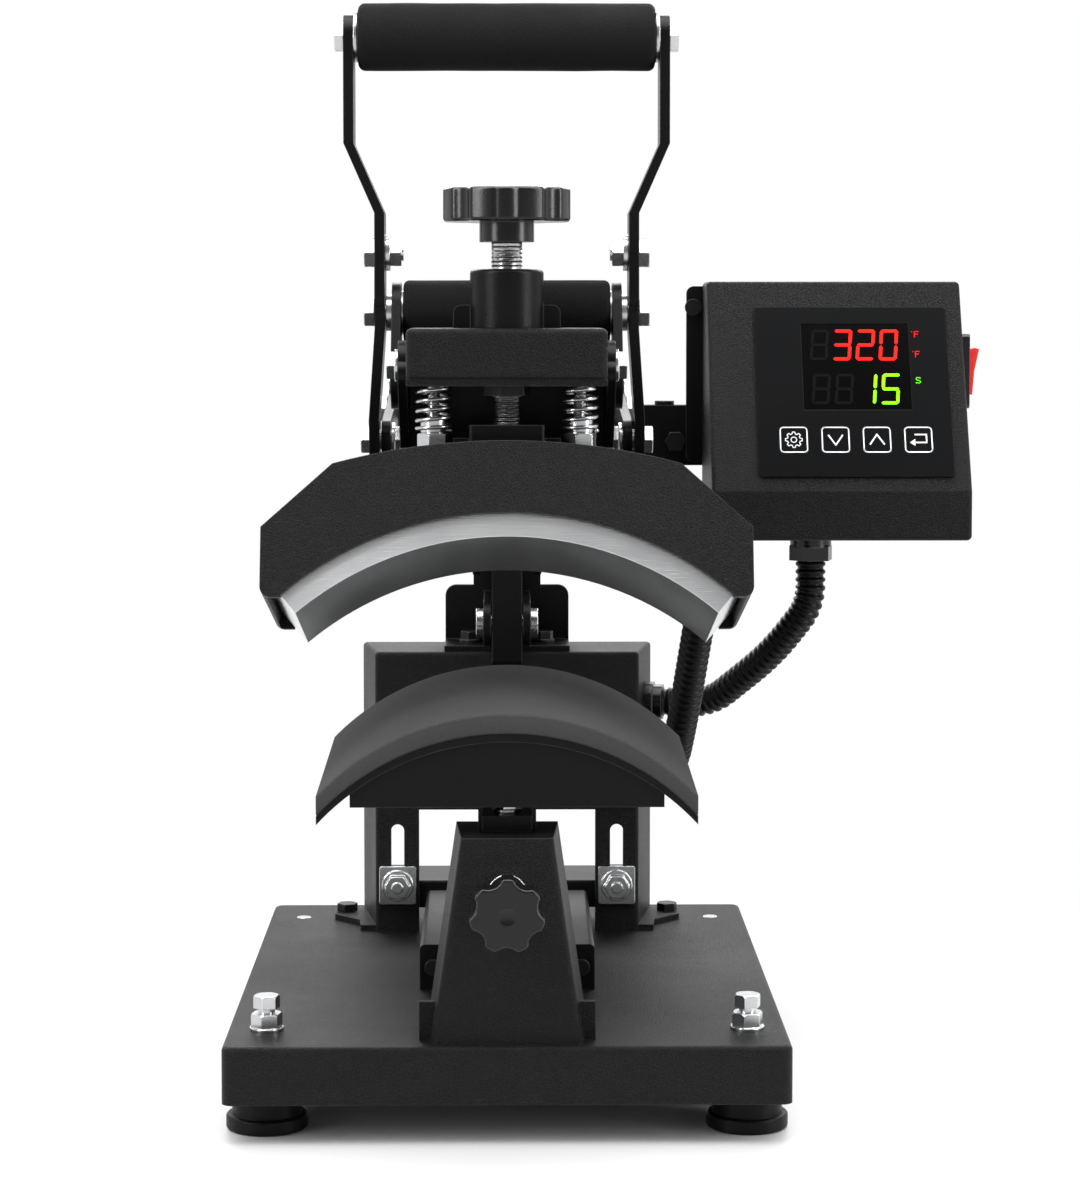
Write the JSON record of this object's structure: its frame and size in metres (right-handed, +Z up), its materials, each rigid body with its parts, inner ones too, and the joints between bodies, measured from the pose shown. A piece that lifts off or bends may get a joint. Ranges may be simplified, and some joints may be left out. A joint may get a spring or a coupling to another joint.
{
  "type": "cap heat press",
  "caption": "Toggle-clamp heat press for cap fronts: curved heated platen over a padded curved lower platen, with side control box.",
  "frame": {"origin": "middle of the bottom of the whole object's bounding box, on the floor under the feet", "axes": "+Z up, +X to the operator's right, +Y from the operator to the back"},
  "size_m": [0.385, 0.35, 0.5341],
  "materials": {
    "black_crackle": "coarse crackle powder coat",
    "black_satin": "satin powder coat",
    "zinc": "zinc plated",
    "steel": "bright steel",
    "black_oxide": "black oxide",
    "aluminium": "machined",
    "foam": "closed-cell foam",
    "pad_rubber": "silicone foam",
    "rubber": "moulded",
    "black_plastic": "moulded",
    "face_film": "black film over the face and its keys",
    "red_plastic": "rocker",
    "screen": "tinted window",
    "board": "printed circuit board",
    "fibre": "glass wool",
    "conduit": "corrugated nylon"
  },
  "bodies": {
    "frame": {"base_tray": "black_crackle", "levelling_feet": "rubber", "foot_studs": "zinc", "pedestal": "black_crackle", "tower": "black_crackle", "frame_bolts": "black_oxide", "crossbar": "black_satin", "slot_bolts": "zinc", "wiring_channel": "black_satin", "hinge_column": "black_satin", "arm_hinge_pin": "steel", "link_shaft": "steel", "control_housing": "black_crackle", "face_plate": "face_film", "circuit_board": "board", "display_window": "screen", "switch_bezel": "black_plastic", "power_inlet": "black_plastic", "control_bracket": "black_satin", "control_gland": "black_plastic", "tower_glands": "black_plastic", "conduit_control": "conduit", "conduit_heater": "conduit"},
    "lower_platen": {"platen_pad": "pad_rubber", "lower_platen_plate": "black_satin", "saddle_bracket": "black_satin", "saddle_bolt": "zinc", "platen_post": "steel", "clamp_washer": "zinc"},
    "clamp": {"clamp_knob": "black_plastic"},
    "arm": {"arm_frame": "black_satin", "arm_side_plates": "black_satin", "crosshead": "black_crackle", "crosshead_side_bolts": "zinc", "screw_boss": "black_satin", "pressure_nut": "zinc", "pivot_tube": "steel", "foam_roll": "foam", "handle_pivot_bolts": "zinc", "pressure_springs": "steel"},
    "carriage": {"heater_platen": "aluminium", "heater_cover": "black_crackle", "insulation_blanket": "fibre", "mounting_wedge": "black_satin", "thrust_block": "black_satin", "carriage_studs": "zinc", "stud_nuts": "zinc", "heater_gland": "black_plastic"},
    "pressure": {"pressure_screw": "steel", "pressure_knob": "black_plastic"},
    "handle": {"handle_bars": "black_satin", "grip_tube": "steel", "foam_grip": "foam", "handle_bolts": "zinc"},
    "links": {"toggle_links": "black_satin"},
    "settings_key": {"key_settings": "face_film"},
    "down_key": {"key_down": "face_film"},
    "up_key": {"key_up": "face_film"},
    "enter_key": {"key_enter": "face_film"},
    "power_rocker": {"rocker_switch": "red_plastic"}
  },
  "joints": [
    {"name": "handle_hinge", "type": "hinge", "parent": "arm", "child": "handle", "pos_m": [-0.0603, -0.027, 0.382], "axis": [1, 0, 0], "range_deg": [0, 48]},
    {"name": "arm_hinge", "type": "hinge", "parent": "frame", "child": "arm", "pos_m": [-0.0603, 0.083, 0.216], "axis": [1, 0, 0], "range_deg": [0, 19.5], "deforming": ["conduit_heater"]},
    {"name": "link_hinge", "type": "hinge", "parent": "handle", "child": "links", "pos_m": [-0.0603, -0.0125, 0.3186], "axis": [1, 0, 0], "range_deg": [-70.6, 0]},
    {"name": "carriage_slide", "type": "slide", "parent": "arm", "child": "carriage", "axis": [0, 0, 1], "range_m": [-0.006, 0.0015], "deforming": ["pressure_springs"]},
    {"name": "pressure_screw_turn", "type": "hinge", "parent": "carriage", "child": "pressure", "pos_m": [-0.0603, -0.08, 0.3502], "axis": [0, 0, 1], "range_deg": [-1081, 271]},
    {"name": "platen_slide", "type": "slide", "parent": "frame", "child": "lower_platen", "axis": [0, 0, 1], "range_m": [0, 0.002]},
    {"name": "clamp_knob_turn", "type": "hinge", "parent": "lower_platen", "child": "clamp", "pos_m": [-0.0603, -0.155, 0.1103], "axis": [0, 1, 0], "range_deg": [-360, 360]},
    {"name": "rocker_hinge", "type": "hinge", "parent": "frame", "child": "power_rocker", "pos_m": [0.18, 0.101, 0.3505], "axis": [0, 1, 0], "range_deg": [-12, 0]},
    {"name": "settings_key_press", "type": "slide", "parent": "frame", "child": "settings_key", "axis": [0, 0.903, -0.4297], "range_m": [0, 0.0004], "stiffness_N_per_m": 400, "springref_m": -0.0005},
    {"name": "down_key_press", "type": "slide", "parent": "frame", "child": "down_key", "axis": [0, 0.903, -0.4297], "range_m": [0, 0.0004], "stiffness_N_per_m": 400, "springref_m": -0.0005},
    {"name": "up_key_press", "type": "slide", "parent": "frame", "child": "up_key", "axis": [0, 0.903, -0.4297], "range_m": [0, 0.0004], "stiffness_N_per_m": 400, "springref_m": -0.0005},
    {"name": "enter_key_press", "type": "slide", "parent": "frame", "child": "enter_key", "axis": [0, 0.903, -0.4297], "range_m": [0, 0.0004], "stiffness_N_per_m": 400, "springref_m": -0.0005}
  ],
  "couplings": [
    {"joint": "arm_hinge", "follows": "handle_hinge", "ratio": 0.40625},
    {"joint": "link_hinge", "follows": "handle_hinge", "ratio": -1.4688},
    {"joint": "pressure_screw_turn", "follows": "carriage_slide", "rad_per_m": 3141.6}
  ]
}
